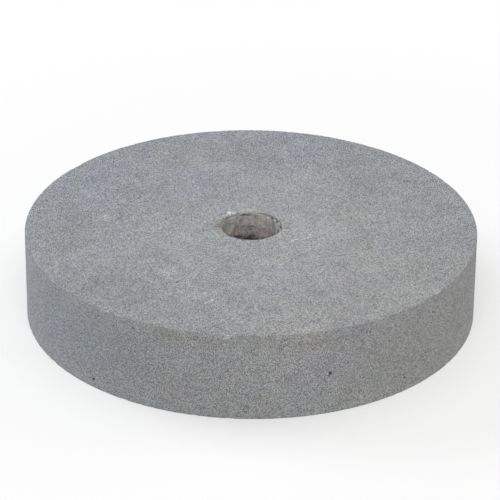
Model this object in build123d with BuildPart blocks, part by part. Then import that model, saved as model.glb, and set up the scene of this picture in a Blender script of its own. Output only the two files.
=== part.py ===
from build123d import *
import os
from math import cos, radians, sin, sqrt

# A straight grinding stone: one flat disc of bonded abrasive grit, pressed and
# fired in one piece, with a thin brown lining cast into its arbor hole.
# The disc lies on one face, +Z is its axis, and the origin is the middle of the
# face that it rests on. All sizes are in millimetres.

# Driving sizes
wheel_diameter = 250
wheel_thickness = 50
arbor_bore = 32

# The lining of the arbor hole, and how far its ends stay below the two faces
lining_wall = 1.0
lining_recess = 0.8
lining_bevel = 0.6

# The worn corners of the stone: at the grinding rim and at the mouths of the hole
rim_bevel = 0.5
mouth_bevel = 0.3

# Sizes that follow from these
wheel_radius = wheel_diameter / 2
bore_radius = arbor_bore / 2
hole_radius = bore_radius + lining_wall
lining_length = wheel_thickness - 2 * lining_recess

# The broken places of the stone are small round scoops. Each has its angle counted
# from +X, the scoop's radius, and how deep it bites into the stone.

# At the mouth of the hole the first six run into each other as one long flake
mouth_chips = [
    (80, 1.6, 0.6),
    (86, 2.2, 0.8),
    (93, 1.8, 0.7),
    (99, 2.4, 0.9),
    (106, 1.9, 0.7),
    (112, 1.5, 0.6),
    (131, 1.4, 0.7),
    (152, 1.2, 0.5),
    (187, 1.3, 0.5),
    (223, 1.1, 0.4),
    (291, 1.2, 0.4),
    (22, 1.5, 0.5),
    (44, 1.2, 0.4),
]

# At the upper corner of the rim they are single nicks
rim_chips = [
    (212, 3.0, 0.8),
    (233, 3.5, 1.1),
    (265, 4.0, 1.4),
    (303, 3.0, 1.0),
    (323, 3.5, 1.3),
]


def on_circle(radius, angle, height):
    """A point on a circle round the stone's axis."""
    return (radius * cos(radians(angle)), radius * sin(radians(angle)), height)


# The stone is its half section turned round the axis, less the broken places
with BuildPart() as stone:
    with BuildSketch(Plane.XZ) as half_section:
        with Locations((hole_radius, 0)):
            Rectangle(
                wheel_radius - hole_radius,
                wheel_thickness,
                align=(Align.MIN, Align.MIN),
            )
        corners = half_section.vertices().group_by(Axis.X)
        chamfer(corners[-1], length=rim_bevel)
        chamfer(corners[0], length=mouth_bevel)
    revolve(axis=Axis.Z)
    # At the mouth the scoop comes straight down onto the edge of the hole
    for angle, scoop, bite in mouth_chips:
        with Locations(on_circle(hole_radius, angle, wheel_thickness + scoop - bite)):
            Sphere(scoop, mode=Mode.SUBTRACT)
    # At the rim it comes in at 45 degrees, against the corner
    for angle, scoop, bite in rim_chips:
        clear = (scoop - bite) / sqrt(2)
        with Locations(on_circle(wheel_radius + clear, angle, wheel_thickness + clear)):
            Sphere(scoop, mode=Mode.SUBTRACT)
stone.part.label = "stone"

# The lining is a thin tube against the wall of the hole, bevelled at both mouths
with BuildPart() as bore_lining:
    with BuildSketch(Plane.XZ) as wall_section:
        with Locations((bore_radius, lining_recess)):
            Rectangle(lining_wall, lining_length, align=(Align.MIN, Align.MIN))
        chamfer(wall_section.vertices().group_by(Axis.X)[0], length=lining_bevel)
    revolve(axis=Axis.Z)
bore_lining.part.label = "bore_lining"

os.makedirs("parts", exist_ok=True)
for piece in (stone, bore_lining):
    export_step(piece.part, f"parts/{piece.part.label}.step")
    size = piece.part.bounding_box().size
    print(
        f"{piece.part.label}: {size.X:.1f} x {size.Y:.1f} x {size.Z:.1f} mm,"
        f" {piece.part.volume / 1000:.1f} cm3, valid {piece.part.is_valid}"
    )
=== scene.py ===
import math

import bmesh
import bpy
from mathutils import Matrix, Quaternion, Vector


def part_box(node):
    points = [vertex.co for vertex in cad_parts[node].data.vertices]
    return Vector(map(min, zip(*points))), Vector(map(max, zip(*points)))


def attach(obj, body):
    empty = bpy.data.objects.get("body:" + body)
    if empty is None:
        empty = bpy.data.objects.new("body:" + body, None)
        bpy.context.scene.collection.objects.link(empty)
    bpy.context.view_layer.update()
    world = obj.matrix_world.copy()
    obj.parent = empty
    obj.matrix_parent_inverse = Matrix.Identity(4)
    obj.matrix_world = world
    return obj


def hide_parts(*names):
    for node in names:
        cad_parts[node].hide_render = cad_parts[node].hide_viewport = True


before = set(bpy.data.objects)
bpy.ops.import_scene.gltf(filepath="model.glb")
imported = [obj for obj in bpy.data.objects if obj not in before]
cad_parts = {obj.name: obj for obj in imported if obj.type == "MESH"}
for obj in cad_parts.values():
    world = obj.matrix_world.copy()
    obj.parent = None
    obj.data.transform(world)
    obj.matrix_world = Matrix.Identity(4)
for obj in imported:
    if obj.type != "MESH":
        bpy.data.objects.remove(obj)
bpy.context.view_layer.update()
MM = 0.001


# The stone. One thick disc of fine abrasive grit in a fired bond, pressed in a mould and
# dressed flat. Its half section is turned round the axis, its corners crumble grain by
# grain, and single broken places and pits are scooped out of it.
stone_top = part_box("stone")[1]
wheel_radius = stone_top.x
wheel_thickness = stone_top.z
hole_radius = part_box("bore_lining")[1].x
stone_web = wheel_radius - hole_radius


def opening_steps(length, fine, coarse, growth):
    """Distances from 0 to length, close together at both ends and wider apart between."""
    half = [0.0]
    step = fine
    while half[-1] < length / 2:
        half.append(half[-1] + step)
        step = min(step * growth, coarse)
    squeeze = length / 2 / half[-1]
    half = [distance * squeeze for distance in half]
    return half + [length - distance for distance in reversed(half[:-1])]


def stone_section():
    """The half section as a loop: out from the wall of the hole, and down from the upper face."""
    across = opening_steps(stone_web, fine=0.3 * MM, coarse=8 * MM, growth=1.6)
    along = opening_steps(wheel_thickness, fine=0.3 * MM, coarse=8 * MM, growth=1.6)
    loop = [(out, 0.0) for out in across[:-1]]
    loop += [(stone_web, down) for down in along[:-1]]
    loop += [(out, wheel_thickness) for out in reversed(across[1:])]
    loop += [(0.0, down) for down in reversed(along[1:])]
    return loop


def on_circle(radius, angle, height):
    """A point on a circle round the axis, at an angle in degrees from +X."""
    turn = math.radians(angle)
    return Vector((radius * math.cos(turn), radius * math.sin(turn), height))


# Broken places: angle, scoop radius and bite, in millimetres. Those at the mouth of the
# hole come straight down, and those at the rim come in at 45 degrees against the corner.
mouth_chips = [
    (80, 1.6, 0.6), (86, 2.2, 0.8), (93, 1.8, 0.7), (99, 2.4, 0.9), (106, 1.9, 0.7),
    (112, 1.5, 0.6), (131, 1.4, 0.7), (152, 1.2, 0.5), (187, 1.3, 0.5), (223, 1.1, 0.4),
    (291, 1.2, 0.4), (22, 1.5, 0.5), (44, 1.2, 0.4),
]
rim_chips = [(212, 3.0, 0.8), (233, 3.5, 1.1), (265, 4.0, 1.4), (303, 3.0, 1.0), (323, 3.5, 1.3)]
# Pits in the rim: angle, height above the bench, radius
rim_pits = [
    (289.7, 24.0, 1.1), (289.3, 22.6, 0.6), (305.8, 34.6, 0.7), (228.4, 4.8, 1.1),
    (311.1, 8.1, 0.7), (320.9, 39.8, 0.9), (235.0, 42.6, 0.6), (300.1, 43.5, 0.7),
]
# Pits in the upper face: distance right and back of the axis, radius
face_pits = [
    (-39, -67, 0.8), (52, 31, 0.5), (-71, 22, 0.5), (84, -38, 0.5), (12, 66, 0.5),
    (20.2, -3.6, 0.6), (21.4, -6.2, 0.55), (19.0, -8.0, 0.5), (33, -23, 0.7),
]
# How far outside the surface the centre of a pit's ball lies, as a share of its radius
pit_stands_out = 0.3


def stone_scoops():
    """Centre and radius of every scoop, in metres."""
    scoops = []
    for angle, radius, bite in mouth_chips:
        height = wheel_thickness + (radius - bite) * MM
        scoops.append((on_circle(hole_radius, angle, height), radius * MM))
    for angle, radius, bite in rim_chips:
        clear = (radius - bite) * MM / math.sqrt(2)
        scoops.append((on_circle(wheel_radius + clear, angle, wheel_thickness + clear), radius * MM))
    for angle, height, radius in rim_pits:
        out = wheel_radius + pit_stands_out * radius * MM
        scoops.append((on_circle(out, angle, height * MM), radius * MM))
    for right, back, radius in face_pits:
        up = wheel_thickness + pit_stands_out * radius * MM
        scoops.append((Vector((right * MM, back * MM, up)), radius * MM))
    return scoops


def place(tree, kind, inputs=None, **settings):
    """Adds a node to a tree. Settings are its own options, inputs are values or sockets."""
    made = tree.nodes.new(kind)
    for name, value in settings.items():
        setattr(made, name, value)
    for name, value in (inputs or {}).items():
        if isinstance(value, bpy.types.NodeSocket):
            tree.links.new(value, made.inputs[name])
        else:
            made.inputs[name].default_value = value
    return made


def maths(tree, operation, *terms):
    """A Math node's result."""
    return place(tree, "ShaderNodeMath", dict(enumerate(terms)), operation=operation).outputs[0]


def vectors(tree, operation, *terms, out="Vector"):
    """A Vector Math node's result."""
    return place(tree, "ShaderNodeVectorMath", dict(enumerate(terms)), operation=operation).outputs[out]


def ramp(tree, value, low, high, to_low=0.0, to_high=1.0, smooth=True):
    """Value spread from low..high to to_low..to_high, and held at the ends."""
    inputs = {0: value, 1: low, 2: high, 3: to_low, 4: to_high}
    kind = "SMOOTHSTEP" if smooth else "LINEAR"
    return place(tree, "ShaderNodeMapRange", inputs, interpolation_type=kind).outputs[0]


def noise(tree, where, size, detail=2.0, out="Fac"):
    """Soft noise whose lumps are about size across, in metres or a socket of metres."""
    scale = maths(tree, "DIVIDE", 1.0, size)
    inputs = {"Vector": where, "Scale": scale, "Detail": detail}
    return place(tree, "ShaderNodeTexNoise", inputs, noise_dimensions="3D").outputs[out]


def new_tree(name, kind, inputs, outputs):
    """An empty node tree with named inputs and outputs, given as (name, kind of socket, value)."""
    tree = bpy.data.node_groups.new(name, kind)
    for label, socket, value in inputs:
        made = tree.interface.new_socket(label, in_out="INPUT", socket_type="NodeSocket" + socket)
        if value is not None:
            made.default_value = value
    for label, socket in outputs:
        tree.interface.new_socket(label, in_out="OUTPUT", socket_type="NodeSocket" + socket)
    entry = tree.nodes.new("NodeGroupInput").outputs
    exit_ = tree.nodes.new("NodeGroupOutput").inputs
    return tree, entry, exit_


def turned_section(tree, section, turns, radius, top):
    """Turns a section round the axis. Its x runs out from the radius and its y down from the top."""
    profile = place(tree, "GeometryNodeMeshToCurve", {"Mesh": section})
    path = place(tree, "GeometryNodeCurvePrimitiveCircle", {"Resolution": turns, "Radius": radius})
    turned = place(
        tree,
        "GeometryNodeCurveToMesh",
        {"Curve": path.outputs["Curve"], "Profile Curve": profile.outputs["Curve"]},
    )
    up = place(tree, "ShaderNodeCombineXYZ", {"Z": top}).outputs["Vector"]
    lifted = place(tree, "GeometryNodeTransform", {"Geometry": turned.outputs["Mesh"], "Translation": up})
    return lifted.outputs["Geometry"]


def scaled(tree, vector, factor):
    """A vector, or a colour, multiplied by a factor."""
    inputs = {0: vector, "Scale": factor}
    return place(tree, "ShaderNodeVectorMath", inputs, operation="SCALE").outputs["Vector"]


def places_round_axis(tree, seed):
    """Height, distance from the axis, direction away from it, and a place for noise."""
    where = place(tree, "GeometryNodeInputPosition").outputs["Position"]
    flat = vectors(tree, "MULTIPLY", where, (1.0, 1.0, 0.0))
    height = place(tree, "ShaderNodeSeparateXYZ", {"Vector": where}).outputs["Z"]
    radius = vectors(tree, "LENGTH", flat, out="Value")
    outward = vectors(tree, "NORMALIZE", flat)
    # Each seed reads the noise at another place, well away from the others
    shift = place(tree, "ShaderNodeCombineXYZ", {"X": maths(tree, "MULTIPLY", seed, 0.37)})
    return height, radius, outward, vectors(tree, "ADD", where, shift.outputs["Vector"])


def uneven_balls(tree, points, radius, fineness, seed):
    """A ball on every point, turned at random, its surface uneven by a seventh of its radius."""
    ball = place(tree, "GeometryNodeMeshIcoSphere", {"Radius": 1.0, "Subdivisions": fineness})
    where = place(tree, "GeometryNodeInputPosition").outputs["Position"]
    dents = ramp(tree, noise(tree, where, 0.7, 3.0), 0.3, 0.7, -0.14, 0.14, smooth=False)
    dented = place(
        tree,
        "GeometryNodeSetPosition",
        {"Geometry": ball.outputs["Mesh"], "Offset": scaled(tree, where, dents)},
    )
    turn = place(
        tree,
        "FunctionNodeRandomValue",
        {"Min": (0.0, 0.0, 0.0), "Max": (math.tau, math.tau, math.tau), "Seed": seed},
        data_type="FLOAT_VECTOR",
    )
    placed = place(
        tree,
        "GeometryNodeInstanceOnPoints",
        {
            "Points": points,
            "Instance": dented.outputs["Geometry"],
            "Rotation": turn.outputs["Value"],
            "Scale": radius,
        },
    )
    whole = place(tree, "GeometryNodeRealizeInstances", {"Geometry": placed.outputs["Instances"]})
    return whole.outputs["Geometry"]


def finished_mesh(tree, mesh, material):
    """Smooth faces that meet sharply where they turn by more than 28 degrees, in their material."""
    smooth = place(tree, "GeometryNodeSetShadeSmooth", {"Geometry": mesh}, domain="FACE")
    bend = place(tree, "GeometryNodeInputMeshEdgeAngle").outputs["Unsigned Angle"]
    turns_sharply = maths(tree, "GREATER_THAN", bend, math.radians(28))
    sharp = place(
        tree,
        "GeometryNodeSetShadeSmooth",
        {"Geometry": smooth.outputs["Geometry"], "Selection": turns_sharply, "Shade Smooth": False},
        domain="EDGE",
    )
    joined = place(tree, "GeometryNodeRealizeInstances", {"Geometry": sharp.outputs["Geometry"]})
    inputs = {"Geometry": joined.outputs["Geometry"], "Material": material}
    return place(tree, "GeometryNodeSetMaterial", inputs).outputs["Geometry"]


def section_and_balls(tree, start):
    """The starting mesh holds both: points with a ball size of their own aren't in the section."""
    size = place(tree, "GeometryNodeInputNamedAttribute", {"Name": "ball"}).outputs["Attribute"]
    parts = place(
        tree,
        "GeometryNodeSeparateGeometry",
        {"Geometry": start, "Selection": maths(tree, "GREATER_THAN", size, 0.0)},
        domain="POINT",
    )
    return parts.outputs["Inverted"], parts.outputs["Selection"], size


def from_sides(tree, radius, height, wheel, hole, thickness):
    """How far a place is from the rim, the hole, the top, the nearer wall and the nearer face."""
    from_rim = maths(tree, "SUBTRACT", wheel, radius)
    from_hole = maths(tree, "SUBTRACT", radius, hole)
    from_top = maths(tree, "SUBTRACT", thickness, height)
    across = maths(tree, "MINIMUM", from_rim, from_hole)
    along = maths(tree, "MINIMUM", height, from_top)
    return from_rim, from_hole, from_top, across, along


def pressed_disc_tree():
    """Turns the section round the axis, crumbles its corners and takes scoops and pits out."""
    tree, entry, exit_ = new_tree(
        "Pressed disc",
        "GeometryNodeTree",
        [
            ("Section and scoops", "Geometry", None),
            ("Turns", "Int", 900),
            ("Hole radius", "Float", 0.0),
            ("Wheel radius", "Float", 0.0),
            ("Thickness", "Float", 0.0),
            ("Corner wear", "Float", 0.0),
            ("Crumble depth", "Float", 0.0),
            ("Crumble size", "Float", 0.0),
            ("Pits per square metre", "Float", 0.0),
            ("Smallest pit", "Float", 0.0),
            ("Largest pit", "Float", 0.0),
            ("Seed", "Int", 0),
            ("Material", "Material", None),
        ],
        [("Disc", "Geometry")],
    )
    section, scoops, scoop_size = section_and_balls(tree, entry["Section and scoops"])
    disc = turned_section(tree, section, entry["Turns"], entry["Hole radius"], entry["Thickness"])
    height, radius, outward, moved = places_round_axis(tree, entry["Seed"])

    # How far a point is from the nearest corner: along the face or down the wall
    from_rim, from_hole, from_top, across, along = from_sides(
        tree, radius, height, entry["Wheel radius"], entry["Hole radius"], entry["Thickness"]
    )
    from_corner = maths(tree, "ADD", across, along)

    # The corner is lost along a sloping break whose size changes from grain to grain
    grains = ramp(tree, noise(tree, moved, entry["Crumble size"], 3.0), 0.40, 0.72)
    coarse_size = maths(tree, "MULTIPLY", entry["Crumble size"], 6.0)
    patches = ramp(tree, noise(tree, moved, coarse_size, 1.0), 0.56, 0.74)
    lost = maths(tree, "MULTIPLY_ADD", patches, 1.2, grains)
    leg = maths(tree, "MULTIPLY_ADD", lost, entry["Crumble depth"], entry["Corner wear"])
    over = maths(tree, "SUBTRACT", leg, from_corner)
    cut = maths(tree, "MULTIPLY", maths(tree, "MAXIMUM", over, 0.0), 0.5)
    near_rim = maths(tree, "LESS_THAN", from_rim, from_hole)
    away = maths(tree, "MULTIPLY_ADD", near_rim, -2.0, 1.0)
    near_top = maths(tree, "LESS_THAN", from_top, height)
    upward = maths(tree, "MULTIPLY_ADD", near_top, -2.0, 1.0)
    sideways = scaled(tree, outward, maths(tree, "MULTIPLY", cut, away))
    upright = place(tree, "ShaderNodeCombineXYZ", {"Z": maths(tree, "MULTIPLY", cut, upward)})
    offset = vectors(tree, "ADD", sideways, upright.outputs["Vector"])
    crumbled = place(tree, "GeometryNodeSetPosition", {"Geometry": disc, "Offset": offset}).outputs[0]

    # Grains that came out left pits all over, and the larger scoops have places of their own
    pits = place(
        tree,
        "GeometryNodeDistributePointsOnFaces",
        {"Mesh": crumbled, "Density": entry["Pits per square metre"], "Seed": entry["Seed"]},
        distribute_method="RANDOM",
    ).outputs["Points"]
    # This node's inputs 2 and 3 and its output 1 are those for plain numbers
    pit_size = place(
        tree,
        "FunctionNodeRandomValue",
        {2: entry["Smallest pit"], 3: entry["Largest pit"], "Seed": entry["Seed"]},
        data_type="FLOAT",
    ).outputs[1]
    lost_places = place(tree, "GeometryNodeJoinGeometry")
    small = uneven_balls(tree, pits, pit_size, 2, entry["Seed"])
    large = uneven_balls(tree, scoops, scoop_size, 4, entry["Seed"])
    tree.links.new(small, lost_places.inputs["Geometry"])
    tree.links.new(large, lost_places.inputs["Geometry"])
    broken = place(
        tree,
        "GeometryNodeMeshBoolean",
        {"Mesh 1": crumbled, "Mesh 2": lost_places.outputs["Geometry"]},
        operation="DIFFERENCE",
        solver="MANIFOLD",
    )
    tree.links.new(finished_mesh(tree, broken.outputs["Mesh"], entry["Material"]), exit_["Disc"])
    return tree


def clean_cuts(mesh):
    """Joins points that the cuts left almost on top of each other, and makes plain triangles."""
    almost_together = 0.0005 * MM
    shape = bmesh.new()
    shape.from_mesh(mesh)
    bmesh.ops.remove_doubles(shape, verts=shape.verts, dist=almost_together)
    bmesh.ops.triangulate(shape, faces=shape.faces)
    shape.verts.index_update()
    # Faces that meet along two edges in a row can both cut off the triangle between, back to back
    sharing = {}
    for face in shape.faces:
        sharing.setdefault(frozenset(corner.index for corner in face.verts), []).append(face)
    back_to_back = [face for faces in sharing.values() if len(faces) > 1 for face in faces]
    bmesh.ops.delete(shape, geom=back_to_back, context="FACES")
    shape.to_mesh(mesh)
    shape.free()


def grow(name, section, balls, tree, values):
    """Runs a geometry tree on a section and its balls, and returns the finished plain mesh object."""
    start = bpy.data.meshes.new(name)
    corners = [(out, down, 0.0) for out, down in section]
    edges = [(i, (i + 1) % len(section)) for i in range(len(section))]
    start.from_pydata(corners + [centre for centre, _ in balls], edges, [])
    sizes = [0.0] * len(section) + [radius for _, radius in balls]
    start.attributes.new("ball", "FLOAT", "POINT").data.foreach_set("value", sizes)
    piece = bpy.data.objects.new(name, start)
    bpy.context.scene.collection.objects.link(piece)
    maker = piece.modifiers.new(tree.name, "NODES")
    maker.node_group = tree
    for socket in tree.interface.items_tree:
        if socket.in_out == "INPUT" and socket.name in values:
            maker[socket.identifier] = values[socket.name]
    bpy.context.view_layer.update()
    shaped = piece.evaluated_get(bpy.context.evaluated_depsgraph_get())
    mesh = bpy.data.meshes.new_from_object(shaped)
    clean_cuts(mesh)
    piece.modifiers.clear()
    piece.data = mesh
    mesh.name = name
    return piece


def grain_group():
    """Grit in its bond: a tone and a height for each grain, and masks of pale grains and pores."""
    tree, entry, exit_ = new_tree(
        "Grit",
        "ShaderNodeTree",
        [
            ("Vector", "Vector", None),
            ("Grain size", "Float", 0.5 * MM),
            ("Pale share", "Float", 0.02),
            ("Pore share", "Float", 0.04),
        ],
        [("Tone", "Float"), ("Height", "Float"), ("Pale", "Float"), ("Pore", "Float")],
    )

    def cells(size):
        """Grains of one size: three random draws for each, and the distance from its middle."""
        inputs = {"Vector": entry["Vector"], "Scale": maths(tree, "DIVIDE", 1.0, size)}
        found = place(tree, "ShaderNodeTexVoronoi", inputs, voronoi_dimensions="3D", feature="F1")
        draw = place(tree, "ShaderNodeSeparateColor", {"Color": found.outputs["Color"]}).outputs
        return draw, found.outputs["Distance"]

    coarse, coarse_distance = cells(entry["Grain size"])
    fine, fine_distance = cells(maths(tree, "MULTIPLY", entry["Grain size"], 0.55))
    tone = maths(tree, "MULTIPLY_ADD", coarse["Red"], 0.7, maths(tree, "MULTIPLY", fine["Red"], 0.3))
    pale = maths(tree, "GREATER_THAN", coarse["Green"], maths(tree, "SUBTRACT", 1.0, entry["Pale share"]))
    pore = maths(tree, "LESS_THAN", coarse["Blue"], entry["Pore share"])
    dome = maths(tree, "SUBTRACT", coarse["Green"], coarse_distance)
    small_dome = maths(tree, "SUBTRACT", fine["Green"], fine_distance)
    rough = maths(tree, "MULTIPLY_ADD", small_dome, 0.5, dome)
    height = maths(tree, "MULTIPLY_ADD", pore, -1.5, rough)
    for label, value in (("Tone", tone), ("Height", height), ("Pale", pale), ("Pore", pore)):
        tree.links.new(value, exit_[label])
    return tree


def mottle_group():
    """Slow changes over a surface in tone, in warmth and in how stained it is, all round zero."""
    tree, entry, exit_ = new_tree(
        "Mottle",
        "ShaderNodeTree",
        [("Vector", "Vector", None), ("Patch size", "Float", 8 * MM)],
        [("Tone", "Float"), ("Warmth", "Float"), ("Stain", "Float")],
    )
    size = entry["Patch size"]
    small = noise(tree, entry["Vector"], size, 2.0, "Color")
    large = noise(tree, entry["Vector"], maths(tree, "MULTIPLY", size, 5.0), 2.0, "Color")
    small = place(tree, "ShaderNodeSeparateColor", {"Color": small}).outputs
    large = place(tree, "ShaderNodeSeparateColor", {"Color": large}).outputs
    for label, channel in (("Tone", "Red"), ("Warmth", "Green"), ("Stain", "Blue")):
        both = maths(tree, "ADD", small[channel], large[channel])
        tree.links.new(maths(tree, "SUBTRACT", both, 1.0), exit_[label])
    return tree


def patch_group():
    """One ragged mark on a surface: an oval, turned about Z, with its edge broken up by noise."""
    tree, entry, exit_ = new_tree(
        "Ragged patch",
        "ShaderNodeTree",
        [
            ("Vector", "Vector", None),
            ("Centre", "Vector", (0.0, 0.0, 0.0)),
            ("Half size", "Vector", (1.0, 1.0, 1.0)),
            ("Turn", "Float", 0.0),
            ("Break-up size", "Float", 1 * MM),
            ("Softness", "Float", 0.6),
        ],
        [("Mask", "Float")],
    )
    from_centre = vectors(tree, "SUBTRACT", entry["Vector"], entry["Centre"])
    back = maths(tree, "MULTIPLY", entry["Turn"], -1.0)
    inputs = {"Vector": from_centre, "Angle": back}
    turned = place(tree, "ShaderNodeVectorRotate", inputs, rotation_type="Z_AXIS").outputs["Vector"]
    away = vectors(tree, "LENGTH", vectors(tree, "DIVIDE", turned, entry["Half size"]), out="Value")
    ragged = noise(tree, entry["Vector"], entry["Break-up size"], 3.0)
    spread = maths(tree, "MULTIPLY_ADD", ragged, 1.2, maths(tree, "SUBTRACT", away, 0.6))
    inner = maths(tree, "SUBTRACT", 1.0, entry["Softness"])
    tree.links.new(ramp(tree, spread, inner, 1.0, 1.0, 0.0), exit_["Mask"])
    return tree


def mixed(tree, factor, first, second):
    """Two colours mixed by a factor. A Mix node's colours are inputs 6 and 7 and output 2."""
    inputs = {"Factor": factor, 6: first, 7: second}
    return place(tree, "ShaderNodeMix", inputs, data_type="RGBA", clamp_factor=True).outputs[2]


def new_material(name):
    """A material with nothing but its Principled surface, and its Object coordinates."""
    material = bpy.data.materials.new(name)
    material.use_nodes = True
    tree = material.node_tree
    surface = next(n for n in tree.nodes if n.type == "BSDF_PRINCIPLED")
    here = tree.nodes.new("ShaderNodeTexCoord").outputs["Object"]
    return material, tree, surface, here


def add_effect(tree, group, inputs):
    """Places a shader node group with its own values and returns its outputs."""
    return place(tree, "ShaderNodeGroup", inputs, node_tree=group).outputs


def coat(tree, surface, colour, shine, relief, strength, depth):
    """Gives a surface its colour, its shine and the relief of its grains."""
    inputs = {"Strength": strength, "Distance": depth, "Height": relief}
    bump = place(tree, "ShaderNodeBump", inputs)
    tree.links.new(bump.outputs["Normal"], surface.inputs["Normal"])
    tree.links.new(colour, surface.inputs["Base Color"])
    surface.inputs["Specular IOR Level"].default_value = shine


def patches_of(tree, here, marks, breakup, softness):
    """All of a list of ragged patches as one mask. Each: centre, half size, turn, strength."""
    whole = None
    for centre, half_size, turn, strength in marks:
        inputs = {
            "Vector": here,
            "Centre": centre,
            "Half size": half_size,
            "Turn": turn,
            "Break-up size": breakup,
            "Softness": softness,
        }
        mark = maths(tree, "MULTIPLY", add_effect(tree, patch, inputs)["Mask"], strength)
        whole = mark if whole is None else maths(tree, "MAXIMUM", whole, mark)
    return whole


grain = grain_group()
mottle = mottle_group()
patch = patch_group()


# Greenish dirt and pale mortar dust on the face beside the hole: angle, half width
# outward from the mouth and half length along it in millimetres, strength
mouth_dirt = [
    (183, 3.4, 7.0, 0.9), (201, 4.4, 5.5, 0.5), (158, 2.2, 6.0, 0.7),
    (60, 1.0, 6.0, 0.35), (215, 1.4, 5.0, 0.4),
]
mouth_dust = [(96, 3.4, 5.8, 0.9), (72, 1.6, 3.6, 0.5), (128, 1.6, 2.0, 0.4)]

# Marks on the upper face, in millimetres: right and back of the axis, half length, half
# width, turn in degrees, strength. Scratches are rows of dots, rubbed places are soft.
scratches = [
    (26, -15, 14, 1.3, 43, 1.0), (31, -14, 9, 1.1, 38, 0.9), (20, -20, 7, 1.0, 50, 0.9),
    (-20, -87, 7, 1.4, 45, 1.0), (-10, -122.6, 5, 1.2, 5, 0.8), (-41, -52, 3, 2.0, 60, 0.6),
    (-24, -79, 4, 1.4, 40, 1.0), (52, 6, 9, 0.9, 22, 0.6), (-66, -34, 8, 0.9, 8, 0.6),
]
white_flecks = [
    (18.4, -4.8, 0.9, 0.7, 0, 0.5), (20.3, -5.2, 0.8, 0.6, 20, 0.5), (17.9, -8.3, 0.9, 0.7, 0, 0.5),
    (23.0, -16.9, 0.9, 0.7, 40, 0.8), (32.6, -10.6, 1.0, 0.7, 40, 0.8), (7.4, -18.4, 0.7, 0.6, 0, 0.7),
    (18.2, -25.7, 0.7, 0.6, 0, 0.6), (-10.7, -24.9, 0.7, 0.6, 0, 0.6), (-23.4, -90.0, 1.1, 0.8, 40, 0.8),
    (-24.5, -80.0, 0.8, 0.7, 0, 0.8), (-41.5, -50.5, 0.8, 0.7, 0, 0.7), (-14.5, -10.5, 1.0, 0.6, 30, 0.6),
]
light_rubs = [
    (-43, -56, 9, 5, 20, 0.30), (8, -6, 92, 84, 0, 0.15), (-25, -80, 12, 7, 24, 0.25),
    (-81, 8, 9, 6, 0, 0.25), (4, -66, 26, 7, 4, 0.18), (-60, 8, 16, 9, -30, 0.12),
    (62, 14, 22, 13, 12, 0.16), (38, 52, 14, 4, -18, 0.12), (-22, 74, 18, 6, 9, 0.10),
]
dark_rubs = [
    (-72, -76, 38, 34, 0, 0.75), (-104, -6, 22, 44, 0, 0.45), (-10, 88, 40, 24, 0, 0.40),
    (-62, 44, 30, 20, 15, 0.30), (96, 24, 26, 26, 0, 0.40), (64, -62, 22, 9, 30, 0.25),
    (20, 0, 5, 10, 0, 0.40),
]
# Marks on the rim: angle, distance below the upper face, half length, half height, strength
rim_stains = [(254, 5, 40, 7, 0.55), (286, 6, 26, 6, 0.4), (256, 15, 1.6, 1.4, 0.6)]
rim_scuffs = [
    (268.8, 3.0, 1.3, 1.0, 0.9), (309.3, 2.3, 1.2, 1.0, 0.9), (256.4, 7.4, 0.9, 1.2, 0.8),
    (257.0, 8.6, 0.9, 1.2, 0.8), (257.6, 9.8, 0.9, 1.2, 0.7), (264.6, 1.3, 6.5, 1.8, 0.7),
]
# Painted light: the left of the rim is tinted cool and its right warm, like the lamps that light them:
# marks and their colour
painted_light_rim_tints = [
    ([(229, 20, 60, 30, 0.6)], (0.283, 0.3135, 0.337, 1)),
    ([(318, 26, 46, 26, 0.6)], (0.338, 0.344, 0.320, 1)),
]


def dotted(tree, here, mask, size):
    """A mask broken up into separate dots about size across."""
    dots = ramp(tree, noise(tree, here, size, 1.0), 0.44, 0.60)
    return maths(tree, "MULTIPLY", mask, dots)


def face_marks(marks):
    """Centres, half sizes, turns and strengths of marks on the upper face, in metres, 0.5 mm deep."""
    return [
        (
            (right * MM, back * MM, wheel_thickness),
            (half_length * MM, half_width * MM, 0.5 * MM),
            math.radians(turn),
            strength,
        )
        for right, back, half_length, half_width, turn, strength in marks
    ]


def rim_marks(marks):
    """The same for marks on the rim. A longer one reaches deeper, as the rim curves away."""
    return [
        (
            on_circle(wheel_radius, angle, wheel_thickness - down * MM),
            (0.3 * half_length * MM + 1 * MM, half_length * MM, half_height * MM),
            math.radians(angle),
            strength,
        )
        for angle, down, half_length, half_height, strength in marks
    ]


def fleck_marks():
    """The white fresh chip beside the mouth of the hole."""
    main = on_circle(hole_radius + 2.6 * MM, 129, wheel_thickness)
    tail = on_circle(hole_radius + 1.5 * MM, 122, wheel_thickness)
    return [
        (main, (1.3 * MM, 2.5 * MM, 1.5 * MM), math.radians(12), 1.0),
        (tail, (2.2 * MM, 1.4 * MM, 1.5 * MM), math.radians(-30), 0.55),
    ]


def mouth_marks(marks):
    """Marks round the mouth of the hole. Each: angle, half width outward, half length, strength."""
    return [
        (
            on_circle(hole_radius + 0.3 * out * MM, angle, wheel_thickness),
            (out * MM, along * MM, 3 * MM),
            math.radians(angle),
            strength,
        )
        for angle, out, along, strength in marks
    ]


def depth_and_corner(tree, radius, height):
    """How deep a point lies inside the stone's true faces, and how near it is to a corner."""
    across, along = from_sides(tree, radius, height, wheel_radius, hole_radius, wheel_thickness)[-2:]
    at_corner = ramp(tree, maths(tree, "MAXIMUM", across, along), 3 * MM, 5 * MM, 1.0, 0.0)
    return maths(tree, "MINIMUM", across, along), at_corner


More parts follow.
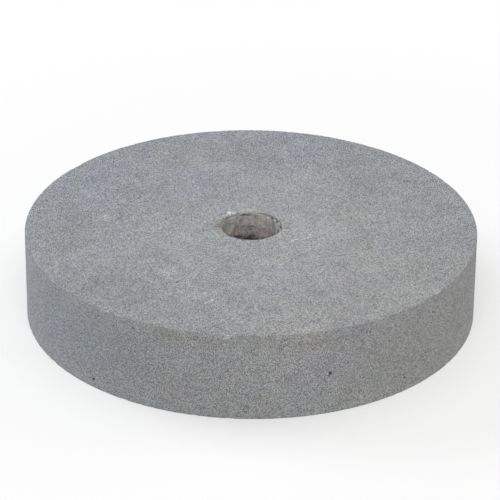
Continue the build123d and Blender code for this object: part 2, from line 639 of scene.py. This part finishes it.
def abrasive_stone():
    """Cool grey grit in a fired bond, matt, paler where it is broken or rubbed."""
    material, tree, surface, here = new_material("Abrasive stone")
    grit = add_effect(
        tree, grain, {"Vector": here, "Grain size": 0.27 * MM, "Pale share": 0.04, "Pore share": 0.05}
    )
    firing = add_effect(tree, mottle, {"Vector": here, "Patch size": 9 * MM})

    # Painted light: the colour is made cooler towards the back left and warmer towards the front right,
    # like the lamps there, by so much a metre, on top of the firing's own uneven warmth
    painted_light_warmer_towards = (2.0, -2.0, 0.0)
    cool_body = (0.300, 0.3235, 0.369, 1)
    warm_body = (0.338, 0.3355, 0.326, 1)
    painted_light_drift = vectors(tree, "DOT_PRODUCT", here, painted_light_warmer_towards, out="Value")
    warmth = ramp(tree, maths(tree, "ADD", firing["Warmth"], painted_light_drift), -0.6, 0.6, smooth=False)
    body = mixed(tree, warmth, cool_body, warm_body)
    greenish = ramp(tree, firing["Stain"], 0.03, 0.3, 0.0, 0.6)
    body = mixed(tree, greenish, body, (0.308, 0.330, 0.318, 1))
    reddish = ramp(tree, firing["Stain"], -0.3, -0.03, 0.45, 0.0)
    body = mixed(tree, reddish, body, (0.333, 0.322, 0.351, 1))
    # Painted light: the rim's cool left and warm right
    for marks, tint in painted_light_rim_tints:
        there = patches_of(tree, here, rim_marks(marks), 8 * MM, 0.9)
        body = mixed(tree, there, body, tint)
    axes = place(tree, "ShaderNodeSeparateXYZ", {"Vector": here}).outputs
    radius = vectors(tree, "LENGTH", vectors(tree, "MULTIPLY", here, (1.0, 1.0, 0.0)), out="Value")

    # It is paler where it is broken or rubbed, darker where it is handled, and has dirt at the hole
    depth, at_corner = depth_and_corner(tree, radius, axes["Z"])
    broken = maths(tree, "MULTIPLY", ramp(tree, depth, 0.06 * MM, 0.6 * MM, 0.0, 0.6), at_corner)
    body = mixed(tree, broken, body, (0.60, 0.60, 0.58, 1))
    layers = [
        (face_marks(light_rubs), 1.2 * MM, 0.7, (0.60, 0.61, 0.62, 1)),
        (face_marks(dark_rubs), 4 * MM, 0.8, (0.25, 0.26, 0.27, 1)),
        (rim_marks(rim_stains), 3 * MM, 0.8, (0.290, 0.288, 0.262, 1)),
        (mouth_marks(mouth_dirt), 1.6 * MM, 0.8, (0.235, 0.238, 0.210, 1)),
    ]
    for marks, breakup, softness, tint in layers:
        body = mixed(tree, patches_of(tree, here, marks, breakup, softness), body, tint)

    # Scuffs and scratches leave dots of pale dust, single grains are white, and mortar was spilt
    scuffed = dotted(tree, here, patches_of(tree, here, rim_marks(rim_scuffs), 0.8 * MM, 0.6), 1.0 * MM)
    body = mixed(tree, scuffed, body, (0.56, 0.56, 0.53, 1))
    scratched = patches_of(tree, here, face_marks(scratches), 1.2 * MM, 0.8)
    scratched = dotted(tree, here, scratched, 1.2 * MM)
    body = mixed(tree, scratched, body, (0.66, 0.67, 0.68, 1))
    dust = patches_of(tree, here, mouth_marks(mouth_dust), 1.1 * MM, 0.6)
    body = mixed(tree, dust, body, (0.51, 0.50, 0.47, 1))
    flecks = patches_of(tree, here, fleck_marks() + face_marks(white_flecks), 0.6 * MM, 0.35)
    body = mixed(tree, flecks, body, (0.76, 0.75, 0.73, 1))
    dusted = broken
    for mask in (scuffed, scratched, dust, flecks):
        dusted = maths(tree, "MAXIMUM", dusted, mask)

    def by_radius(on_faces, on_rim):
        """One value on the faces, which turns into another at the rim."""
        return ramp(tree, radius, wheel_radius - 1 * MM, wheel_radius - 0.2 * MM, on_faces, on_rim)

    # The ground rim is dustier than the faces, and grains stand out less where there is dust
    contrast = by_radius(1.9, 1.5)
    contrast = maths(tree, "MULTIPLY", contrast, ramp(tree, dusted, 0.0, 1.0, 1.0, 0.35, smooth=False))
    grain_tone = ramp(tree, grit["Tone"], 0.0, 1.0, -0.5, 0.5)
    spread = maths(tree, "MULTIPLY_ADD", grain_tone, contrast, 1.0)
    unevenness = by_radius(0.36, 0.20)
    # Painted light: the foot of the rim is made lighter, for the light the floor throws back onto it
    painted_bounce_at_foot = ramp(tree, axes["Z"], 0.0, 18 * MM, 1.10, 1.0)
    patches = maths(tree, "MULTIPLY_ADD", firing["Tone"], unevenness, painted_bounce_at_foot)
    colour = scaled(tree, body, maths(tree, "MULTIPLY", spread, patches))

    # Mortar is smeared on the wall of the hole above the lining, and painted shade fills the gap behind
    # it
    in_hole = ramp(tree, radius, hole_radius, hole_radius + 0.1 * MM, 1.0, 0.0)
    above_lining = ramp(tree, axes["Z"], wheel_thickness - 1.0 * MM, wheel_thickness - 0.2 * MM, 0.7, 0.2)
    smeared = maths(tree, "MULTIPLY", in_hole, above_lining)
    colour = mixed(tree, smeared, colour, (0.40, 0.38, 0.36, 1))
    below = ramp(tree, axes["Z"], wheel_thickness - 3.2 * MM, wheel_thickness - 2.0 * MM, 1.0, 0.0)
    painted_gap_shade = maths(tree, "MULTIPLY", in_hole, below)
    colour = mixed(tree, painted_gap_shade, colour, (0.06, 0.057, 0.054, 1))

    # Single pale grains and pores, and pits away from the corners, made darker the deeper they go
    colour = mixed(tree, grit["Pale"], colour, (0.66, 0.66, 0.65, 1))
    colour = mixed(tree, grit["Pore"], colour, (0.11, 0.11, 0.11, 1))
    in_pit = ramp(tree, depth, 0.10 * MM, 0.40 * MM, 0.0, 0.9)
    in_pit = maths(tree, "MULTIPLY", in_pit, maths(tree, "SUBTRACT", 1.0, at_corner))
    colour = mixed(tree, in_pit, colour, (0.04, 0.04, 0.038, 1))
    coat(tree, surface, colour, 0.25, grit["Height"], 0.4, 0.15 * MM)
    # The bond is dull, and the clean facets of pale grains glint a little
    dull = ramp(tree, grit["Tone"], 0.0, 1.0, 0.95, 0.80)
    tree.links.new(maths(tree, "MULTIPLY_ADD", grit["Pale"], -0.35, dull), surface.inputs["Roughness"])
    return material


stone = grow(
    "stone_body",
    stone_section(),
    stone_scoops(),
    pressed_disc_tree(),
    {
        "Hole radius": hole_radius,
        "Wheel radius": wheel_radius,
        "Thickness": wheel_thickness,
        "Corner wear": 0.2 * MM,
        "Crumble depth": 0.35 * MM,
        "Crumble size": 1.0 * MM,
        "Pits per square metre": 1800.0,
        "Smallest pit": 0.22 * MM,
        "Largest pit": 0.55 * MM,
        "Seed": 11,
        "Material": abrasive_stone(),
    },
)
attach(stone, "root")
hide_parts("stone")


# The lining. A thin tube of brown sandy mortar, cast by hand between the stone and a
# mandrel. Its wall has hollows, seams and crumbs, its upper end is ragged, and it has
# come away from the stone along the right of the mouth.
lining_low, lining_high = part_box("bore_lining")
lining_top = lining_high.z
lining_length = lining_high.z - lining_low.z
bore_radius = 16 * MM
lining_wall = hole_radius - bore_radius
lining_bevel = 0.6 * MM

# Where the lining has come off the stone: angle and half the width, in degrees
gap_openings = [(3, 9), (29, 2), (44, 2), (-36, 3)]
# The same where its seams show clearly, where its end is cracked and where it rises as a lip
clear_seams_at = (91, 12)
cracked_at = (103, 7)
lip_at = (96, 15)
# Crumbs of mortar on the wall: angle, distance below the upper end, radius, in millimetres
mortar_crumbs = [
    (131, 7.2, 0.5), (133.5, 7.8, 0.45), (129, 8.0, 0.4), (36, 4.8, 0.5), (38.5, 5.2, 0.45),
    (118, 3.9, 0.4), (147, 5.6, 0.45), (96, 10.4, 0.45), (64, 9.1, 0.4), (21, 8.2, 0.45),
    (168, 5.3, 0.4), (78, 12.9, 0.45), (250, 9.5, 0.45), (300, 15.0, 0.5), (205, 21.0, 0.5),
]


def lining_section():
    """The lining's half section as a loop: out from the bore, and down from the upper end."""
    straight = lining_length - 2 * lining_bevel
    inner = opening_steps(straight, fine=0.22 * MM, coarse=0.8 * MM, growth=1.015)
    outer = opening_steps(lining_length, fine=0.5 * MM, coarse=5 * MM, growth=1.25)
    slope = [0.25, 0.5, 0.75]
    end = [lining_bevel + share * (lining_wall - lining_bevel) for share in (0.0, 0.5)]
    loop = [(out, 0.0) for out in end]
    loop += [(lining_wall, down) for down in outer]
    loop += [(out, lining_length) for out in reversed(end)]
    loop += [(lining_bevel * (1 - share), lining_length - lining_bevel * share) for share in slope]
    loop += [(0.0, lining_bevel + down) for down in reversed(inner)]
    loop += [(lining_bevel * share, lining_bevel * (1 - share)) for share in slope]
    return loop


def crumb_balls():
    """Centre and radius of every crumb. It touches the true bore and sinks into the wall."""
    return [
        (on_circle(bore_radius + radius * MM, angle, lining_top - down * MM), radius * MM)
        for angle, down, radius in mortar_crumbs
    ]


def facing(tree, outward, angle, half, fall=8):
    """1 within half a width of an angle round the axis, in degrees, falling to 0 over a few more."""
    turn = math.radians(angle)
    towards = vectors(tree, "DOT_PRODUCT", outward, (math.cos(turn), math.sin(turn), 0.0), out="Value")
    return ramp(tree, towards, math.cos(math.radians(half + fall)), math.cos(math.radians(half)))


def cast_lining_tree():
    """Turns the lining's section round the axis and gives its wall and end a hand-cast skin."""
    tree, entry, exit_ = new_tree(
        "Cast lining",
        "GeometryNodeTree",
        [
            ("Section and crumbs", "Geometry", None),
            ("Turns", "Int", 480),
            ("Bore radius", "Float", 0.0),
            ("Hole radius", "Float", 0.0),
            ("Top", "Float", 0.0),
            ("Hollow depth", "Float", 0.0),
            ("Lump size", "Float", 0.0),
            ("First seam below top", "Float", 0.0),
            ("Second seam below top", "Float", 0.0),
            ("Ragged end", "Float", 0.0),
            ("Lip rise", "Float", 0.0),
            ("Gap width", "Float", 0.0),
            ("Gap depth", "Float", 0.0),
            ("Seed", "Int", 0),
            ("Material", "Material", None),
        ],
        [("Lining", "Geometry")],
    )
    section, crumbs, crumb_size = section_and_balls(tree, entry["Section and crumbs"])
    tube = turned_section(tree, section, entry["Turns"], entry["Bore radius"], entry["Top"])
    height, radius, outward, moved = places_round_axis(tree, entry["Seed"])
    down = maths(tree, "SUBTRACT", entry["Top"], height)
    wall = maths(tree, "SUBTRACT", entry["Hole radius"], entry["Bore radius"])
    out = maths(tree, "DIVIDE", maths(tree, "SUBTRACT", radius, entry["Bore radius"]), wall)
    inner_skin = ramp(tree, out, 0.15, 0.95, 1.0, 0.0)

    # The skin: broad hollows, small pits, and two seams that wander round the wall
    broad = ramp(tree, noise(tree, moved, entry["Lump size"], 3.0), 0.36, 0.68)
    pit_place = maths(tree, "MULTIPLY", entry["Lump size"], 0.27)
    pitted = ramp(tree, noise(tree, moved, pit_place, 2.0), 0.55, 0.70)
    wander = noise(tree, moved, 9 * MM, 2.0)
    wander = ramp(tree, wander, 0.3, 0.7, -0.7 * MM, 0.7 * MM, smooth=False)
    down_seam = maths(tree, "ADD", down, wander)
    hollow = maths(tree, "MULTIPLY_ADD", pitted, 0.35, maths(tree, "MULTIPLY", broad, 0.5))
    at_back = facing(tree, outward, *clear_seams_at)
    broken_up = ramp(tree, noise(tree, moved, 3 * MM, 2.0), 0.25, 0.55)
    clear_seam = maths(tree, "MULTIPLY", maths(tree, "MULTIPLY_ADD", at_back, 0.32, 0.10), broken_up)
    for label in ("First seam below top", "Second seam below top"):
        off = maths(tree, "ABSOLUTE", maths(tree, "SUBTRACT", down_seam, entry[label]))
        seam = ramp(tree, off, 0.15 * MM, 0.5 * MM, 1.0, 0.0)
        hollow = maths(tree, "MULTIPLY_ADD", seam, clear_seam, hollow)
    # A crack runs under the lip at the far side
    under_lip = facing(tree, outward, *cracked_at)
    off = maths(tree, "ABSOLUTE", maths(tree, "SUBTRACT", down_seam, 1 * MM))
    crack = ramp(tree, off, 0.2 * MM, 0.7 * MM, 0.5, 0.0)
    hollow = maths(tree, "MULTIPLY_ADD", crack, under_lip, hollow)
    hollow = maths(tree, "MINIMUM", hollow, 1.3)
    sunken = maths(tree, "MULTIPLY", hollow, inner_skin)
    outwards = maths(tree, "MULTIPLY", sunken, entry["Hollow depth"])

    # The end: ragged all round, raised as a lip at the far side
    near_end = ramp(tree, down, 0.0, 2.8 * MM, 1.0, 0.0)
    ragged = ramp(tree, noise(tree, moved, 2.2 * MM, 3.0), 0.35, 0.7, 0.0, -1.0)
    lip = maths(tree, "MULTIPLY", facing(tree, outward, *lip_at), entry["Lip rise"])
    rise = maths(tree, "MULTIPLY_ADD", ragged, entry["Ragged end"], lip)
    rise = maths(tree, "MULTIPLY", rise, near_end)

    # The gap: along the right of the mouth the outside of the lining has come off the stone
    fully_open_to = maths(tree, "MULTIPLY", entry["Gap depth"], 0.6)
    along_gap = ramp(tree, down, fully_open_to, entry["Gap depth"], 1.0, 0.0)
    come_off = 0.0
    for angle, half in gap_openings:
        come_off = maths(tree, "MAXIMUM", come_off, facing(tree, outward, angle, half, 3))
    in_gap = maths(tree, "MULTIPLY", come_off, along_gap)
    outside = ramp(tree, out, 0.45, 0.95)
    loose = maths(tree, "MULTIPLY", in_gap, outside)
    shrunk = maths(tree, "MULTIPLY", loose, entry["Gap width"])
    radial = maths(tree, "SUBTRACT", outwards, shrunk)
    upright = place(tree, "ShaderNodeCombineXYZ", {"Z": rise}).outputs["Vector"]
    offset = vectors(tree, "ADD", scaled(tree, outward, radial), upright)
    # Its material reads how hollow and how loose each place is
    marked = tube
    for label, value in (("sunken", sunken), ("loose", loose)):
        marked = place(
            tree,
            "GeometryNodeStoreNamedAttribute",
            {"Geometry": marked, "Name": label, "Value": value},
            data_type="FLOAT",
            domain="POINT",
        ).outputs[0]
    cast = place(tree, "GeometryNodeSetPosition", {"Geometry": marked, "Offset": offset}).outputs[0]

    stuck = uneven_balls(tree, crumbs, crumb_size, 3, entry["Seed"])
    whole = place(
        tree, "GeometryNodeMeshBoolean", {"Mesh 2": cast}, operation="UNION", solver="MANIFOLD"
    )
    tree.links.new(stuck, whole.inputs["Mesh 2"])
    tree.links.new(finished_mesh(tree, whole.outputs["Mesh"], entry["Material"]), exit_["Lining"])
    return tree


def wall_marks(marks):
    """Centres, half sizes, turns and strengths of stains, painted shade and smears on the wall of the
    bore, in metres.
    """
    return [
        (
            on_circle(bore_radius, angle, lining_top - down * MM),
            (1.5 * MM, half_width * MM, half_height * MM),
            math.radians(angle),
            strength,
        )
        for angle, down, half_width, half_height, strength in marks
    ]


# Dark marks on the wall, partly stains and partly painted shade deep in the far wall, under the lip and
# along the seams. Each: angle, distance below the upper end, half width, half height, strength
dark_stains_and_painted_shade = [
    (92, 16.6, 11.0, 6.4, 1.0), (118, 14.4, 6.0, 3.6, 0.9), (33, 9.6, 2.4, 1.5, 0.35),
    (147, 10.5, 2.0, 1.4, 0.4), (112, 4.2, 1.6, 2.4, 0.4), (176, 3.0, 6.0, 3.0, 0.45),
    (104, 0.6, 3.6, 0.9, 0.6), (49, 0.4, 2.4, 1.0, 0.6), (31, 0.4, 1.8, 1.0, 0.5),
    (181, 0.6, 7.0, 1.6, 0.1), (147, 0.8, 4.0, 1.2, 0.4), (92, 8.2, 5.0, 0.7, 0.35),
    (97, 9.8, 5.5, 0.7, 0.4), (62, 8.0, 2.6, 0.6, 0.3), (84, 12.6, 0.5, 2.8, 0.5),
    (90, 12.2, 0.5, 2.6, 0.5), (77, 13.0, 0.5, 2.4, 0.5), (97, 12.0, 0.6, 2.8, 0.4),
    (106, 8.2, 1.8, 2.2, 0.35), (66, 15.2, 5.0, 2.4, 0.55), (260, 16.0, 7.0, 4.0, 0.5),
    (200, 30.0, 8.0, 5.0, 0.5),
]
pale_smears = [
    (74, 0.5, 4.6, 1.0, 0.5), (126, 1.0, 2.2, 0.9, 0.5), (33, 5.4, 2.2, 2.4, 0.25),
    (139, 9.3, 1.8, 1.5, 1.0), (135, 8.4, 1.8, 1.5, 1.0), (132, 7.3, 1.9, 1.5, 1.0),
    (129, 6.1, 2.0, 1.6, 1.0), (72, 4.6, 7.0, 3.0, 0.40), (12, 2.2, 4.0, 1.6, 0.45),
    (9, 6.0, 3.0, 2.5, 0.4), (285, 3.0, 6.0, 1.6, 0.4), (235, 6.0, 5.0, 2.5, 0.3),
]


def cast_mortar():
    """Brown sandy mortar: greyer and dusty towards its upper end and painted lighter there, with painted
    shade lower down, in its hollows and in the gap behind it.
    """
    material, tree, surface, here = new_material("Cast mortar")
    sand = add_effect(
        tree, grain, {"Vector": here, "Grain size": 0.4 * MM, "Pale share": 0.03, "Pore share": 0.03}
    )
    # Trowelled on from above, so its patches are drawn out downwards
    drawn_out = vectors(tree, "MULTIPLY", here, (1.0, 1.0, 0.4))
    patches = add_effect(tree, mottle, {"Vector": drawn_out, "Patch size": 2.4 * MM})
    height = place(tree, "ShaderNodeSeparateXYZ", {"Vector": here}).outputs["Z"]
    down = maths(tree, "SUBTRACT", lining_top, height)
    uneven = maths(tree, "MULTIPLY_ADD", patches["Stain"], 4 * MM, down)
    # Greyer and dusty near the upper end, and painted lighter there as light comes in at the mouth;
    # browner and painted darker further down, in the shade of the bore
    brown = ramp(tree, uneven, 6.5 * MM, 9.5 * MM)
    dusty_grey_and_painted_light = (0.558, 0.545, 0.538, 1)
    sandy_brown = (0.455, 0.415, 0.402, 1)
    body = mixed(tree, brown, dusty_grey_and_painted_light, sandy_brown)
    warm = ramp(tree, patches["Warmth"], -0.05, 0.3, 0.0, 0.5)
    body = mixed(tree, warm, body, (0.51, 0.455, 0.425, 1))
    spread = ramp(tree, sand["Tone"], 0.0, 1.0, 0.60, 1.40, smooth=False)
    tone = maths(tree, "MULTIPLY_ADD", patches["Tone"], 1.3, 1.0)
    colour = scaled(tree, body, maths(tree, "MULTIPLY", spread, tone))
    smears = patches_of(tree, here, wall_marks(pale_smears), 1.3 * MM, 0.7)
    colour = mixed(tree, smears, colour, (0.70, 0.665, 0.635, 1))
    colour = mixed(tree, sand["Pale"], colour, (0.60, 0.58, 0.55, 1))
    # Dirt has settled on its upper end
    ragged_edge = maths(tree, "MULTIPLY_ADD", patches["Tone"], 1.5 * MM, down)
    settled = ramp(tree, ragged_edge, 0.5 * MM, 1.6 * MM, 0.75, 0.0)
    colour = mixed(tree, settled, colour, (0.40, 0.38, 0.355, 1))
    # Painted shade: among these dark marks are the band deep in the far wall, the crack under the lip and
    # the lines along the seams; the rest are stains
    stains = patches_of(tree, here, wall_marks(dark_stains_and_painted_shade), 1.5 * MM, 0.8)
    colour = mixed(tree, stains, colour, (0.075, 0.074, 0.073, 1))
    # Painted shade darkens the hollows, the seams and the crack under the lip, except where a smear has
    # filled them
    sunken = place(tree, "ShaderNodeAttribute", attribute_name="sunken").outputs["Fac"]
    open_hollow = maths(tree, "SUBTRACT", 1.0, smears)
    painted_hollow_shade = maths(tree, "MULTIPLY", ramp(tree, sunken, 0.25, 1.2, 0.0, 0.80), open_hollow)
    colour = mixed(tree, painted_hollow_shade, colour, (0.09, 0.084, 0.080, 1))
    # Painted shade fills the gap where the lining has come off the stone
    loose = place(tree, "ShaderNodeAttribute", attribute_name="loose").outputs["Fac"]
    colour = mixed(tree, ramp(tree, loose, 0.3, 0.9), colour, (0.05, 0.048, 0.045, 1))
    coat(tree, surface, colour, 0.2, sand["Height"], 0.7, 0.18 * MM)
    surface.inputs["Roughness"].default_value = 0.95
    return material


lining = grow(
    "lining_tube",
    lining_section(),
    crumb_balls(),
    cast_lining_tree(),
    {
        "Bore radius": bore_radius,
        "Hole radius": hole_radius,
        "Top": lining_top,
        "Hollow depth": 0.5 * MM,
        "Lump size": 3.2 * MM,
        "First seam below top": 7.4 * MM,
        "Second seam below top": 8.7 * MM,
        "Ragged end": 0.9 * MM,
        "Lip rise": 0.7 * MM,
        "Gap width": 0.6 * MM,
        "Gap depth": 5.0 * MM,
        "Seed": 5,
        "Material": cast_mortar(),
    },
)
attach(lining, "root")
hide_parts("bore_lining")


# The ground. A plain pale floor that the stone lies on: white to the camera, with the
# stone's own soft shadow round its foot.
def seen_by_camera(tree):
    """1 for what the camera sees, itself or in a shine or through glass, and 0 for light."""
    path = tree.nodes.new("ShaderNodeLightPath").outputs
    seen = maths(tree, "MAXIMUM", path["Is Camera Ray"], path["Is Glossy Ray"])
    return maths(tree, "MAXIMUM", seen, path["Is Transmission Ray"])


def floor_finish():
    """Pale matt floor. The camera sees it white, less a part of the shadow that falls on it."""
    material = bpy.data.materials.new("Pale floor")
    material.use_nodes = True
    tree = material.node_tree
    tree.nodes.clear()
    matt = place(tree, "ShaderNodeBsdfDiffuse", {"Color": (0.88, 0.88, 0.88, 1)}).outputs[0]
    shaded = place(tree, "ShaderNodeBsdfDiffuse", {"Color": (1, 1, 1, 1)}).outputs[0]
    white = place(tree, "ShaderNodeEmission", {"Color": (1, 1, 1, 1), "Strength": 1.0}).outputs[0]
    here = tree.nodes.new("ShaderNodeTexCoord").outputs["Object"]
    away = vectors(tree, "LENGTH", here, out="Value")
    # The shadow is kept in part at the foot of the stone, and in full inside its hole
    outside = ramp(tree, away, wheel_radius + 5 * MM, 450 * MM, 0.6, 0.0)
    in_hole = ramp(tree, away, 20 * MM, 60 * MM, 1.0, 0.0)
    shadow_kept = maths(tree, "MAXIMUM", outside, in_hole)
    seen = place(tree, "ShaderNodeMixShader", {0: shadow_kept, 1: white, 2: shaded}).outputs[0]
    both = place(tree, "ShaderNodeMixShader", {0: seen_by_camera(tree), 1: matt, 2: seen}).outputs[0]
    place(tree, "ShaderNodeOutputMaterial", {"Surface": both})
    return material


floor_half = 4.0
floor_corners = [(x * floor_half, y * floor_half, 0) for x, y in ((-1, -1), (1, -1), (1, 1), (-1, 1))]
floor_mesh = bpy.data.meshes.new("floor")
floor_mesh.from_pydata(floor_corners, [], [(0, 1, 2, 3)])
floor = bpy.data.objects.new("floor", floor_mesh)
floor_mesh.materials.append(floor_finish())
bpy.context.scene.collection.objects.link(floor)


# The studio light. A dim white room and five soft boxes: the key high in front, a wide one
# overhead, a cool and a warmer one at the back, and a weak warm one at the front right.
middle = Vector((0, 0, wheel_thickness / 2))


def soft_box(name, place_at, size, strength, colour):
    """A square area lamp at a place, turned to the middle. Strength is its radiance."""
    lamp = bpy.data.lights.new(name, "AREA")
    lamp.shape = "SQUARE"
    lamp.size = size
    lamp.color = colour
    lamp.energy = strength * size * size * math.pi
    box = bpy.data.objects.new(name, lamp)
    box.location = place_at
    box.rotation_mode = "QUATERNION"
    box.rotation_quaternion = (middle - Vector(place_at)).to_track_quat("-Z", "Y")
    bpy.context.scene.collection.objects.link(box)


soft_box("overhead", (0.0, 0.3, 1.6), 1.6, 1.2, (1.0, 1.0, 1.0))
soft_box("back left", (-1.7, 0.9, 0.9), 1.2, 4.5, (0.945, 0.98, 1.0))
soft_box("back right", (1.7, 0.9, 0.9), 1.2, 2.1, (1.0, 0.98, 0.95))
soft_box("front", (-0.05, -1.5, 1.5), 1.2, 4.15, (1.0, 1.0, 0.99))
soft_box("front right", (1.5, -1.1, 0.9), 1.2, 0.5, (1.0, 0.95, 0.88))

# The room lights the stone dimly, and the camera sees it plain white
room_light = 0.15
room = bpy.data.worlds.new("White room")
bpy.context.scene.world = room
room.use_nodes = True
room_tree = room.node_tree
room_tree.nodes.clear()
room_strength = ramp(room_tree, seen_by_camera(room_tree), 0.0, 1.0, room_light, 1.0, smooth=False)
backdrop = place(room_tree, "ShaderNodeBackground", {"Color": (1, 1, 1, 1), "Strength": room_strength})
place(room_tree, "ShaderNodeOutputWorld", {"Surface": backdrop.outputs[0]})


# The camera. A long lens 1.6 metres away that looks down at 28 degrees. It aims a little
# above the middle of the stone, and it is turned by half a degree.
camera_height = math.radians(27.79)
camera_distance = 1.5729
aim_above = 8.65 * MM
aim_right = -0.48 * MM
camera_roll = math.radians(0.53)
towards_camera = Vector((0, -math.cos(camera_height), math.sin(camera_height)))
lens = bpy.data.cameras.new("camera")
lens.sensor_width = 36.0
lens.lens = 203.0
lens.clip_end = 100
camera = bpy.data.objects.new("camera", lens)
bpy.context.scene.collection.objects.link(camera)
bpy.context.scene.camera = camera
up = Vector((0, math.sin(camera_height), math.cos(camera_height)))
aim = middle + up * aim_above + Vector((aim_right, 0, 0))
camera.location = middle + towards_camera * camera_distance
camera.rotation_mode = "QUATERNION"
level_turn = (aim - camera.location).to_track_quat("-Z", "Y")
camera.rotation_quaternion = level_turn @ Quaternion((0, 0, 1), camera_roll)

bpy.context.scene.view_settings.view_transform = "Standard"
